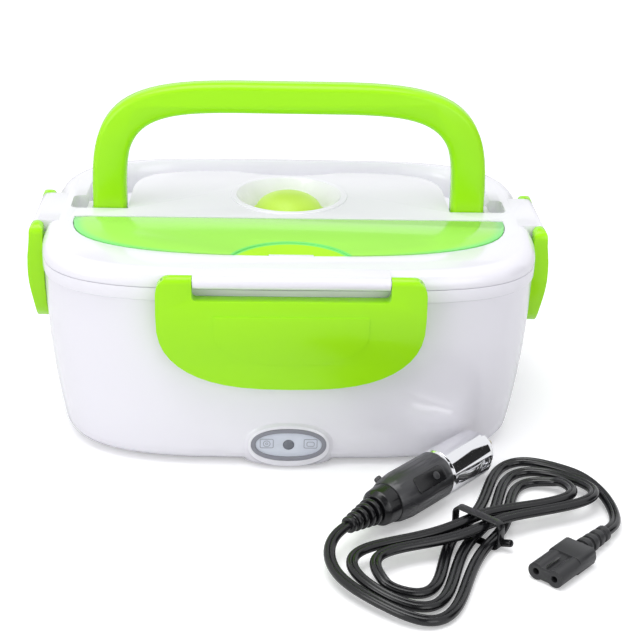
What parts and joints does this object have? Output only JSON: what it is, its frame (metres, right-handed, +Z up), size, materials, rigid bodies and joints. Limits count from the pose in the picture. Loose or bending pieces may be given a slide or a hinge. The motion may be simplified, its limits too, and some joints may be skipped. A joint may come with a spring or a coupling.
{
  "type": "electric lunch box",
  "caption": "Heated lunch box with a lift-off latched lid, folding handle, steam vent, spoon compartment, lift-out tray and dish, and a coiled car lead.",
  "frame": {"origin": "on the table under the middle of the box, the lead left out", "axes": "+X to the right of the front with the lamp, +Y to the back, +Z up"},
  "size_m": [0.2497, 0.2829, 0.1475],
  "materials": {
    "white_shell": "gloss",
    "lime_plastic": "gloss",
    "cover_plastic": "gloss",
    "vent_plastic": "satin",
    "liner_plastic": "satin",
    "seal_silicone": "matte",
    "foot_rubber": "matte",
    "bezel_grey": "satin",
    "badge_silver": "satin",
    "lens_smoke": "gloss",
    "led_red": "gloss",
    "steel": "satin",
    "heater_aluminium": "satin",
    "ceramic": "matte",
    "thermostat_body": "matte",
    "inlet_black": "satin",
    "brass": "satin",
    "wire_red": "satin",
    "spoon_white": "satin",
    "cord_black": "gloss",
    "plug_grey": "satin",
    "window_black": "gloss",
    "chrome": "mirror"
  },
  "bodies": {
    "case": {"outer_case": "white_shell", "inner_well": "liner_plastic", "bottom_cover": "white_shell", "feet": "foot_rubber", "base_screws": "steel", "heater_plate": "heater_aluminium", "ptc_heater": "ceramic", "heater_clamp": "steel", "thermostat": "thermostat_body", "lamp_bezel": "bezel_grey", "lamp_badge": "badge_silver", "lamp_lens": "lens_smoke", "indicator_led": "led_red", "power_inlet": "inlet_black", "inlet_pins": "brass", "wiring": "wire_red", "lead_cord": "cord_black", "lead_tie": "cord_black", "lead_connector": "plug_grey", "connector_relief": "cord_black", "plug_relief": "cord_black", "plug_collar": "window_black", "plug_body": "plug_grey", "plug_window": "window_black", "plug_shell": "chrome", "side_contacts": "chrome", "plug_tip": "chrome"},
    "lid": {"lid_cover": "white_shell", "lid_liner": "liner_plastic", "lid_seal": "seal_silicone", "handle_pins": "steel", "latch_pins": "steel"},
    "handle": {"handle": "lime_plastic"},
    "vent": {"vent_plug": "vent_plastic"},
    "spoon_cover": {"compartment_cover": "cover_plastic"},
    "spoon": {"spoon": "spoon_white"},
    "front_latch": {"latch_front": "lime_plastic"},
    "back_latch": {"latch_back": "lime_plastic"},
    "left_latch": {"latch_left": "lime_plastic"},
    "right_latch": {"latch_right": "lime_plastic"},
    "tray": {"food_tray": "liner_plastic"},
    "dish": {"small_dish": "vent_plastic"}
  },
  "joints": [
    {"name": "lid_lift", "type": "slide", "parent": "case", "child": "lid", "axis": [0, 0, 1], "range_m": [0, 0.2]},
    {"name": "tray_lift", "type": "slide", "parent": "case", "child": "tray", "axis": [0, 0, 1], "range_m": [0, 0.095]},
    {"name": "dish_lift", "type": "slide", "parent": "tray", "child": "dish", "axis": [0, 0, 1], "range_m": [0, 0.045]},
    {"name": "handle_fold", "type": "hinge", "parent": "lid", "child": "handle", "pos_m": [0, 0.0045, 0.083], "axis": [-1, 0, 0], "range_deg": [0, 90]},
    {"name": "vent_lift", "type": "slide", "parent": "lid", "child": "vent", "axis": [0, 0, 1], "range_m": [0, 0.008]},
    {"name": "cover_hinge", "type": "hinge", "parent": "lid", "child": "spoon_cover", "pos_m": [0, -0.0147, 0.0888], "axis": [-1, 0, 0], "range_deg": [0, 85]},
    {"name": "spoon_lift", "type": "slide", "parent": "lid", "child": "spoon", "axis": [0, 0, 1], "range_m": [0, 0.004]},
    {"name": "front_latch_hinge", "type": "hinge", "parent": "lid", "child": "front_latch", "pos_m": [0, -0.0822, 0.0878], "axis": [-1, 0, 0], "range_deg": [0, 110]},
    {"name": "back_latch_hinge", "type": "hinge", "parent": "lid", "child": "back_latch", "pos_m": [0, 0.0822, 0.0834], "axis": [1, 0, 0], "range_deg": [0, 110]},
    {"name": "left_latch_hinge", "type": "hinge", "parent": "lid", "child": "left_latch", "pos_m": [-0.1103, 0, 0.0878], "axis": [0, 1, 0], "range_deg": [0, 110]},
    {"name": "right_latch_hinge", "type": "hinge", "parent": "lid", "child": "right_latch", "pos_m": [0.1103, 0, 0.0878], "axis": [0, -1, 0], "range_deg": [0, 110]}
  ],
  "couplings": [
    {"joint": "tray_lift", "follows": "lid_lift", "ratio": 0.45},
    {"joint": "dish_lift", "follows": "lid_lift", "ratio": 0.2}
  ]
}
